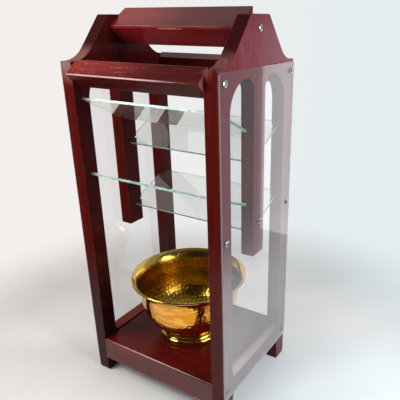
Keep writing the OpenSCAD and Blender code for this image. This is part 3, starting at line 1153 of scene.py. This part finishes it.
@dataclass
class CoinBowl:
    """The loose brass bowl: a hammered shell with a rolled lip, and a turned foot soldered under it.

    Attributes:
        front: How far its axis stands in front of the stand's middle.
        floor: Height of the board it stands on.
        bottom: Height of the shell's outside on the axis.
        belly: Radius and height of the place where the bottom's curve turns into the side's.
        bottom_pull, side_pull: The points that pull those two curves.
        lip_radius, lip_height: The middle of the rolled lip.
        lip: Radius of the roll.
        wall: Thickness of the brass.
        pitch_inside, pitch_outside: Distance between hammer blows, and between the flats they leave outside.
        blow_inside, blow_outside: Depth of the blows and of the flats.
        stroke: How much longer than high the flats outside are.
        fewest: The least number of blows in a ring.
        waver: How the rings wander up and down: share of a pitch, times round the bowl, and start.
        sway, sway_times, sway_turn: How the blows wander round their ring, and how that differs by ring.
        weakest: The least strength of a blow.
        plain, soft, dull: How far below the lip the blows begin, the inner ones gain strength and the patina
            begins, and over what distance.
        softest: The strength of the inner blows nearest the lip.
        pole: Radius of the flat spot in the middle of the bottom.
        around, inside_rows, lip_rows, outside_rows, curve_steps: How finely it is made.
        foot: The foot.
    """

    front: float = 0.002
    floor: float = 0.060
    bottom: float = 0.012
    belly: tuple[float, float] = (0.0733, 0.060)
    bottom_pull: tuple[tuple[float, float], ...] = ((0.048, 0.0115), (0.0695, 0.030))
    side_pull: tuple[tuple[float, float], ...] = ((0.0752, 0.075), (0.0755, 0.095))
    lip_radius: float = 0.0859
    lip_height: float = 0.1002
    lip: float = 0.0016
    wall: float = 0.0014
    pitch_inside: float = 0.0066
    pitch_outside: float = 0.0055
    blow_inside: float = 0.00036
    blow_outside: float = 0.00046
    stroke: float = 1.7
    fewest: float = 5.0
    waver: tuple[tuple[float, int, float], ...] = ((0.3, 2, 0.2), (0.25, 7, 0.0))
    sway: float = 0.3
    sway_times: int = 3
    sway_turn: float = 0.37
    weakest: float = 0.45
    plain: tuple[float, float] = (0.006, 0.012)
    soft: tuple[float, float] = (0.016, 0.045)
    dull: tuple[float, float] = (0.004, 0.008)
    softest: float = 0.55
    pole: float = 0.006
    around: int = 400
    inside_rows: int = 140
    lip_rows: int = 10
    outside_rows: int = 88
    curve_steps: int = 200
    foot: TurnedFoot = TurnedFoot()

    def profile(self) -> tuple[np.ndarray, np.ndarray, np.ndarray]:
        """The shell's section: two cubic curves outside, the same set in by the wall, a circle at the lip.

        Returns:
            Inside from the bottom up, lip from inside to outside, outside from the top down, as radius and
            height.
        """
        end = np.array([self.lip_radius, self.lip_height])
        bottom = pulled_curve(((0.0, self.bottom), *self.bottom_pull, self.belly), self.curve_steps)
        side = pulled_curve((self.belly, *self.side_pull, end), self.curve_steps)
        outside = np.vstack([bottom, side[1:]])
        inside = outside + self.wall * left_of(outside)
        inside[0] = [0.0, self.bottom + self.wall]
        outside = outside[np.linalg.norm(outside - end, axis=1) > self.lip]
        inside = inside[np.linalg.norm(inside - end, axis=1) > self.lip]
        start = math.atan2(*(inside[-1] - end)[::-1])
        stop = math.atan2(*(outside[-1] - end)[::-1])
        roll = arc(end, self.lip, np.linspace(start, stop, self.lip_rows + 2)[1:-1])
        return even_steps(inside, self.inside_rows), roll, even_steps(outside[::-1], self.outside_rows)

    def blows(self, path: np.ndarray, pitch: float, stretch: float) -> np.ndarray:
        """How deep each grid point lies in a hammer blow, from 0 on the ridges to 1.

        Blows lie in wavering rings one pitch apart, each ring with as many as fit round it and half a blow
        out of step with the last. Within a blow the depth is cos^2(pi u) cos^2(pi v) of its own u and v from
        -1/2 to 1/2, times a strength that differs from blow to blow.

        Args:
            path: The section's points.
            pitch: Distance between rings.
            stretch: How much longer than high each blow is.

        Returns:
            One row for each point and one column for each angle.
        """
        full_turn = 2 * np.pi
        run = distance_along(path)
        turn = (np.arange(self.around) / self.around)[None, :]
        waver = sum(share * np.sin(full_turn * (times * turn + start)) for share, times, start in self.waver)
        level = run[:, None] / pitch + waver
        ring = np.floor(level)
        ring_radius = np.interp((ring + 0.5) * pitch, run, path[:, 0])
        count = np.maximum(np.round(full_turn * ring_radius / (pitch * stretch)), self.fewest)
        sway = self.sway * np.sin(full_turn * (self.sway_times * turn + self.sway_turn * ring))
        phase = turn * count + 0.5 * (ring % 2) + sway
        cell = np.floor(phase) % count
        across = phase - np.floor(phase) - 0.5
        along = level - ring - 0.5
        strength = self.weakest + (1.0 - self.weakest) * scattered(cell, ring)
        return strength * np.cos(np.pi * across) ** 2 * np.cos(np.pi * along) ** 2

    def below_lip(self, path: np.ndarray, clear: float, run: float) -> np.ndarray:
        """A share that is 0 near the lip and rises to 1 further down.

        Args:
            path: The section's points.
            clear: How far below the lip it begins to rise.
            run: The height over which it rises.

        Returns:
            One row for each point, with one column.
        """
        return np.clip((self.lip_height - clear - path[:, 1:]) / run, 0.0, 1.0)

    def build_shell(self, centre: Point) -> bpy.types.Object:
        """Turns the section, sinks the blows into both faces of the wall and makes the shell.

        Args:
            centre: Where the bowl stands.

        Returns:
            The shell's object.
        """
        inside, roll, outside = self.profile()
        section = np.vstack([inside, roll, outside])
        inner = slice(0, len(inside))
        outer = slice(len(section) - len(outside), len(section))
        depth = np.zeros((len(section), self.around))
        soft = np.maximum(self.below_lip(inside, *self.soft), self.softest)
        depth[inner] = soft * self.blows(inside, self.pitch_inside, 1.0)
        depth[outer] = self.blows(outside, self.pitch_outside, self.stroke)
        depth *= self.below_lip(section, *self.plain) * np.clip(section[:, :1] / self.pole, 0.0, 1.0)
        reach = np.zeros((len(section), 1))
        reach[inner] = self.blow_inside
        reach[outer] = self.blow_outside
        sunk = reach * left_of(section)
        radius = section[:, :1] - sunk[:, :1] * depth
        height = section[:, 1:] - sunk[:, 1:] * depth
        radius[[0, -1]] = 0.0
        mesh = turned_mesh("hammered_bowl", radius, height, centre)
        dull = np.zeros(depth.shape)
        dull[inner] = self.below_lip(inside, *self.dull)
        rim = 1.0 - dull
        rim[outer] = 0.0
        for name, field in ((BLOW, depth), (PATINA, dull), (RIM, rim)):
            store(mesh, name, np.concatenate([field[:1, 0], field[1:-1].ravel(), field[-1:, 0]]))
        return new_piece("hammered_bowl", mesh)

    def build(self) -> None:
        """Makes both pieces, dresses them and puts them in the place of their solids."""
        centre = (0.0, -self.front, self.floor)
        shell, foot = self.build_shell(centre), self.foot.build(centre)
        dress(shell, Brass("hammered_brass", polish=0.10).material())
        dress(foot, Brass("turned_brass", polish=0.08).material())
        stands_for = ((shell, "bowl_shell", "hammered_brass"), (foot, "bowl_foot_ring", "polished_brass"))
        for piece, node, slot in stands_for:
            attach(piece, "bowl")
            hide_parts(node)
            log.info("%s stands for %s", piece.name, node)


@dataclass
class WoodenFrame:
    """The two gabled sides, the base board, the handle bar and the two top rails.

    Attributes:
        left, right, base, handle, rails: Their nodes.
        chip: The bare stretch under the handle bar's blunt front edge.
        nose_glint, arris_glint, lip: Painted highlight lines above that edge, along the front rail's front
            corner and along the base board's top front edge.
        handled_and_sheen, handle_top_sheen, underside_light: Painted sheen with pale strokes on the front
        rail, painted sheen on top of the handle bar, and painted light under it.
        knocked, left_cove: The scuff marks on the coves of the right and the left gable.
        left_top_sheen, right_top: Painted sheen with pale strokes at the top of the left front post, and
            scuff marks at the top of the right one.
        back_flat_sheen: The slope of the back rail, painted paler as sheen.
        sill, left_sill: The pale patches on top of the bottom rails of the right and the left side.
    """

    left: tuple[str, ...] = ("left_side_board",)
    right: tuple[str, ...] = ("right_side_board",)
    base: tuple[str, ...] = ("base_board",)
    handle: tuple[str, ...] = ("handle_bar",)
    rails: tuple[str, ...] = ("front_top_rail", "back_top_rail")
    chip: EdgeWearAndGlint = EdgeWearAndGlint(middle=0.001, full=0.012, gone=0.021, depth=-0.0214, height=0.5122,
                              reach=0.0018, shade=tint(196, 146, 106), ragged=1.0)
    # Painted highlight lines where light glints along the handle bar's front edge, the front rail and the
    # base board
    nose_glint: EdgeWearAndGlint = EdgeWearAndGlint(middle=-0.085, full=0.02, gone=0.15, depth=-0.0214, height=0.5188,
                              reach=0.0012, shade=tint(214, 150, 142), ragged=0.15)
    arris_glint: EdgeWearAndGlint = EdgeWearAndGlint(middle=-0.030, full=0.045, gone=0.11, depth=-0.1016, height=0.4610,
                               reach=0.0014, shade=tint(198, 150, 142), ragged=0.15)
    lip: EdgeWearAndGlint = EdgeWearAndGlint(middle=-0.030, full=0.01, gone=0.11, depth=-0.0917, height=0.0592,
                             reach=0.0011, shade=tint(170, 116, 108), ragged=0.3)
    # Painted sheen on the front rail and on top of the handle bar, and painted light under the bar
    handled_and_sheen: ScuffAndSheen = ScuffAndSheen(middle=(-0.08, -0.093, 0.474), half=(0.13, 0.03, 0.019),
                           shade=tint(138, 40, 38), wash=0.7, strokes=0.4)
    handle_top_sheen: ScuffAndSheen = ScuffAndSheen(middle=(-0.09, -0.006, 0.531), half=(0.13, 0.04, 0.03),
                           shade=tint(150, 44, 42), wash=0.5, strokes=0.1)
    underside_light: ScuffAndSheen = ScuffAndSheen(middle=(-0.07, -0.004, 0.503), half=(0.24, 0.06, 0.05),
                             shade=tint(140, 30, 33), wash=0.75, strokes=0.1, looks=UNDER)
    knocked: ScuffAndSheen = ScuffAndSheen(middle=(0.109, -0.068, 0.477), half=(0.03, 0.030, 0.024),
                           shade=tint(116, 68, 58), wash=0.6, strokes=0.5)
    left_cove: ScuffAndSheen = ScuffAndSheen(middle=(-0.109, -0.070, 0.477), half=(0.03, 0.034, 0.026),
                             shade=tint(126, 84, 70), wash=0.7, strokes=0.3)
    # Painted sheen at the top of the left front post
    left_top_sheen: ScuffAndSheen = ScuffAndSheen(middle=(-0.106, -0.0925, 0.480), half=(0.024, 0.02, 0.038),
                            shade=tint(156, 122, 120), wash=0.6, strokes=0.7, looks=FRONT)
    right_top: ScuffAndSheen = ScuffAndSheen(middle=(0.100, -0.0925, 0.478), half=(0.016, 0.02, 0.020),
                             shade=tint(128, 76, 68), wash=0.5, strokes=0.6, looks=FRONT)
    # Painted sheen on the back rail's slope
    back_flat_sheen: ScuffAndSheen = ScuffAndSheen(middle=(0.0, 0.081, 0.474), half=(0.35, 0.03, 0.03),
                         shade=tint(140, 108, 106), wash=0.75, strokes=0.0)
    sill: ScuffAndSheen = ScuffAndSheen(middle=(0.1145, -0.075, 0.062), half=(0.016, 0.22, 0.006),
                        shade=tint(178, 148, 136), wash=1.0, strokes=0.2)
    left_sill: ScuffAndSheen = ScuffAndSheen(middle=(-0.109, 0.0, 0.062), half=(0.03, 0.3, 0.006),
                             shade=tint(128, 55, 38), wash=1.0, strokes=0.1)

    def build(self) -> None:
        """Dresses the boards with upright grain and the cross pieces with grain from side to side."""
        left_wood = StainedWood("left_side_wood", Grain.UPRIGHT,
                                scuffs_and_sheens=(self.left_cove, self.left_top_sheen, self.left_sill), painted_shade=0.85)
        right_wood = StainedWood("right_side_wood", Grain.UPRIGHT,
                                 scuffs_and_sheens=(self.knocked, self.right_top, self.sill), painted_shade=0.3)
        base_wood = StainedWood("base_wood", Grain.ACROSS, edge_stretches=(self.lip,), gloss=(0.5, 0.95, 0.3))
        rail_wood = StainedWood("rail_wood", Grain.ACROSS, edge_stretches=(self.arris_glint,),
                                scuffs_and_sheens=(self.handled_and_sheen, self.back_flat_sheen), soaked_and_shade=tint(140, 80, 74),
                                dark=tint(56, 10, 8), middle=tint(72, 15, 12), light=tint(88, 20, 16))
        handle_wood = StainedWood("handle_wood", Grain.ACROSS, edge_stretches=(self.nose_glint, self.chip),
                                  scuffs_and_sheens=(self.handle_top_sheen, self.underside_light), gloss=(0.7, 0.4, 0.45),
                                  dark=tint(72, 14, 13), middle=tint(82, 17, 16), light=tint(92, 21, 19))
        dress_nodes(self.left, left_wood.material())
        dress_nodes(self.right, right_wood.material())
        dress_nodes(self.base, base_wood.material())
        dress_nodes(self.rails, rail_wood.material())
        dress_nodes(self.handle, handle_wood.material())


@dataclass
class GlassCascade:
    """The four tilted panes.

    Attributes:
        front, back: The panes that rise to the front and to the back.
    """

    front: tuple[str, ...] = ("upper_front_pane", "lower_front_pane")
    back: tuple[str, ...] = ("upper_back_pane", "lower_back_pane")

    def build(self) -> None:
        """Dresses each pane for the way it rises."""
        dress_nodes(self.front, PaneGlass("front_pane_glass", Slope.TO_FRONT).material())
        dress_nodes(self.back, PaneGlass("back_pane_glass", Slope.TO_BACK).material())


class Side(Enum):
    """The two sides of the stand, as the word that the names of their nodes begin with."""

    LEFT = "left"
    RIGHT = "right"


@dataclass
class SideSheets:
    """The clear sheets screwed over the outer faces, with all the screws of the stand.

    Attributes:
        kinds: The kinds of screw on each side.
        dust: The two sides, and how much dust lies on their sheets.
        air: The gap between a sheet and its board.
    """

    kinds: tuple[str, ...] = ("rail_screws", "base_screws", "panel_screws", "handle_screw")
    dust: tuple[tuple[Side, float], ...] = ((Side.LEFT, 0.15), (Side.RIGHT, 1.0))
    air: float = 0.00002

    def stand_off(self, side: str) -> bpy.types.Object:
        """A sheet like its solid, its inner face a hair off the board so that no two faces share a plane.

        Each point keeps its place but for x, whose distance from the middle becomes max(|x|, inner + air).

        Args:
            side: The word for the side it is on.

        Returns:
            The sheet's object.
        """
        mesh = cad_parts[f"{side}_side_panel"].data.copy()
        mesh.name = f"{side}_clear_sheet"
        points = np.empty((len(mesh.vertices), 3), dtype=np.float32)
        mesh.vertices.foreach_get("co", points.ravel())
        outward = np.abs(points[:, 0])
        points[:, 0] = np.copysign(np.maximum(outward, outward.min() + self.air), points[:, 0])
        mesh.vertices.foreach_set("co", points.ravel())
        mesh.update()
        return new_piece(mesh.name, mesh)

    def build(self) -> None:
        """Makes the sheets, puts them in the place of their solids, and dresses them and the screws."""
        steel = PlatedSteel("plated_steel").material()
        for where, dust in self.dust:
            side = where.value
            sheet = self.stand_off(side)
            dress(sheet, ClearSheet(sheet.name, dust).material())
            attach(sheet, "frame")
            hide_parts(f"{side}_side_panel")
            log.info("%s stands for %s_side_panel", sheet.name, side)
            dress_nodes([f"{side}_{kind}" for kind in self.kinds], steel)


@dataclass(frozen=True)
class Lamp:
    """A square lamp that looks at a point.

    Attributes:
        name: Its name.
        place: Where it hangs.
        aim: The point it looks at.
        size: The length of its side.
        power: Its power in watts.
        hue: The colour of its light.
        mirrored: Whether polished pieces mirror it.
    """

    name: str
    place: Point
    aim: Point
    size: float
    power: float
    hue: Colour
    mirrored: bool = True

    def hang(self) -> None:
        """Puts the lamp into the scene, turned to its point and out of the camera's sight."""
        data = bpy.data.lights.new(self.name, "AREA")
        data.shape = "SQUARE"
        data.size = self.size
        data.energy = self.power
        data.color = self.hue
        lamp = bpy.data.objects.new(self.name, data)
        lamp.visible_camera = False
        lamp.visible_glossy = self.mirrored
        x, y, z = np.subtract(self.place, self.aim)
        lamp.location = self.place
        lamp.rotation_euler = (math.atan2(math.hypot(x, y), z), 0.0, math.atan2(x, -y))
        bpy.context.scene.collection.objects.link(lamp)


@dataclass
class Studio:
    """A pale floor that fades into a pale backdrop, soft lamps, and the camera.

    Attributes:
        eye: Where the camera stands.
        heading, pitch: Its turn from +Y towards -X, and its tilt below level, in radians.
        lens, sensor: Focal length and width of the picture, in mm.
        shift: How far the picture lies off the lens's axis.
        clip: The nearest and the farthest that the camera sees.
        warm, cool, side_tone: The backdrop on the left and on the right, and where one becomes the other.
        ground, lit_right_ground, ground_tone: The floor on the left, the paler, cooler floor on the right
            where light is painted in, and where one becomes the other.
        mottle, mottle_tone: The floor's uneven tone.
        lit_ground, lit_way, lit_from, lit_reach: The paler floor behind the stand, where it begins and ends.
        floor_half, floor_fade: Half the floor's width, and the distances between which it fades away.
        ambient: How much the backdrop lights the stand.
        room: How bright the backdrop is in a mirror, from front to back.
        corner_way, corner: The way across the room's corner, and how much darker it is to the right of it.
        ceiling: How much darker the backdrop is in a mirror that looks up.
        lamps: The lamps.
    """

    eye: Point = (0.3963, -0.5156, 0.5252)
    heading: float = 0.531
    pitch: float = 0.3742
    lens: float = 42.935
    sensor: float = 36.0
    shift: tuple[float, float] = (-0.1059, 0.0137)
    clip: tuple[float, float] = (0.01, 50.0)
    warm: Colour = tint(243, 239, 236)
    cool: Colour = tint(228, 236, 239)
    side_tone: Step = Step(-0.8, -0.2)
    ground: Colour = tint(218, 214, 211)
    lit_right_ground: Colour = tint(230, 235, 237)
    ground_tone: Step = Step(-0.25, 0.25, 0.0, 0.85)
    mottle: Cloud = Cloud(9.0, 3.0)
    mottle_tone: Step = Step(0.3, 0.7, 0.0, 0.15)
    lit_ground: Colour = tint(242, 240, 237)
    lit_way: Point = (-0.6, 1.0, 0.0)
    lit_from: Step = Step(0.0, 0.1)
    lit_reach: Step = Step(0.26, 0.42, 1.0, 0.0)
    floor_half: float = 2.5
    floor_fade: Step = Step(0.3, 0.62)
    ambient: float = 0.24
    room: Step = Step(-0.25, 0.3, 0.06, 1.0)
    corner_way: Point = (1.0, -0.531, 0.0)
    corner: Step = Step(-0.012, 0.012, 1.0, 0.45)
    ceiling: Step = Step(0.6, 0.85, 1.0, 0.8)
    lamps: tuple[Lamp, ...] = (
        Lamp("key_lamp", place=(-0.42, -0.47, 0.72), aim=(0.0, 0.0, 0.25), size=0.28, power=4.2,
             hue=(1.0, 0.965, 0.93)),
        Lamp("window_lamp", place=(0.8, -0.04, 0.49), aim=(0.0, 0.0, 0.25), size=0.4, power=3.6,
             hue=(0.96, 0.98, 1.0)),
        Lamp("back_lamp", place=(0.417, 1.5, 0.0), aim=(0.417, 0.0, 0.0), size=1.0, power=2.4,
             hue=(0.98, 0.98, 1.0)),
        Lamp("front_lamp", place=(-0.3, -0.8, 0.48), aim=(0.0, 0.0, 0.45), size=0.6, power=2.2,
             hue=(1.0, 0.97, 0.94), mirrored=False),
        Lamp("side_lamp", place=(0.75, 0.0, 0.7), aim=(0.0, 0.0, 0.35), size=0.5, power=4.6,
             hue=(0.93, 0.97, 1.0), mirrored=False),
        Lamp("top_lamp", place=(-0.3, 0.3, 1.4), aim=(-0.2, 0.1, 0.0), size=0.5, power=1.3,
             hue=(1.0, 0.97, 0.94), mirrored=False),
    )

    def camera(self) -> None:
        """Sets up the camera at the photograph's place."""
        data = bpy.data.cameras.new("camera")
        data.lens = self.lens
        data.sensor_width = self.sensor
        data.shift_x, data.shift_y = self.shift
        data.clip_start, data.clip_end = self.clip
        camera = bpy.data.objects.new("camera", data)
        camera.location = self.eye
        camera.rotation_euler = (math.pi / 2 - self.pitch, 0.0, self.heading)
        bpy.context.scene.collection.objects.link(camera)
        bpy.context.scene.camera = camera

    def floor(self) -> None:
        """A flat sheet whose edge fades away between two distances from the stand."""
        reach = self.floor_half
        corners = [(-reach, -reach, 0), (reach, -reach, 0), (reach, reach, 0), (-reach, reach, 0)]
        mesh = bpy.data.meshes.new("floor")
        mesh.from_pydata(corners, [], [(0, 1, 2, 3)])
        floor = new_piece("floor", mesh)
        material, sheet = new_sheet("studio_floor")
        place = sheet.place((1.0, 1.0, 0.0))
        far = sheet.length(place)
        # Painted light: the floor paler and cooler towards the right
        to_right = sheet.step(sheet.axes(place)["X"], self.ground_tone)
        mottled = sheet.step(sheet.noise(place, self.mottle), self.mottle_tone)
        colour = sheet.blend(sheet.math("ADD", to_right, mottled), self.ground, self.lit_right_ground)
        behind = sheet.step(sheet.dot(place, self.lit_way), self.lit_from)
        lit = sheet.times(behind, sheet.step(far, self.lit_reach))
        colour = sheet.blend(lit, colour, self.lit_ground)
        paper = sheet.shader("BsdfDiffuse", Color=colour)
        gone = sheet.shader("BsdfTransparent", Color=WHITE)
        sheet.surface(sheet.mix(sheet.step(far, self.floor_fade), paper, gone))
        dress(floor, material)

    def world(self) -> None:
        """A backdrop warm on the left and cool on the right, which gives the stand a dimmer, even light.

        Polished pieces mirror it as a room that is dark in front and has a corner behind the stand.
        """
        world = bpy.data.worlds.new("studio")
        world.use_nodes = True
        bpy.context.scene.world = world
        sheet = NodeSheet(world.node_tree)
        path = sheet.add("LightPath").outputs
        seen = sheet.math("MAXIMUM", path["Is Camera Ray"], path["Is Transmission Ray"])
        toward = sheet.add("TexCoord").outputs["Generated"]
        axes = sheet.axes(toward)
        backdrop = sheet.blend(sheet.step(axes["X"], self.side_tone), self.warm, self.cool)
        room = sheet.times(
            sheet.step(axes["Y"], self.room),
            sheet.step(sheet.dot(toward, self.corner_way), self.corner),
            sheet.step(axes["Z"], self.ceiling),
        )
        shown = sheet.shader("Background", Color=backdrop, Strength=1.0)
        mirrored = sheet.shader("Background", Color=backdrop, Strength=room)
        light = sheet.shader("Background", Color=backdrop, Strength=self.ambient)
        unseen = sheet.mix(path["Is Glossy Ray"], light, mirrored)
        sheet.add("OutputWorld", Surface=sheet.mix(seen, unseen, shown))

    def build(self) -> None:
        """Makes the camera, the floor, the backdrop and the lamps."""
        self.camera()
        self.floor()
        self.world()
        for lamp in self.lamps:
            lamp.hang()
        bpy.context.scene.view_settings.view_transform = "Standard"


def main() -> None:
    """Builds the studio and the stand's sub-assemblies in order."""
    logging.basicConfig(level=logging.INFO, format="%(name)s: %(message)s")
    for part in (Studio(), WoodenFrame(), GlassCascade(), SideSheets(), CoinBowl()):
        part.build()
        log.info("%s finished", type(part).__name__)


if __name__ == "__main__":
    main()
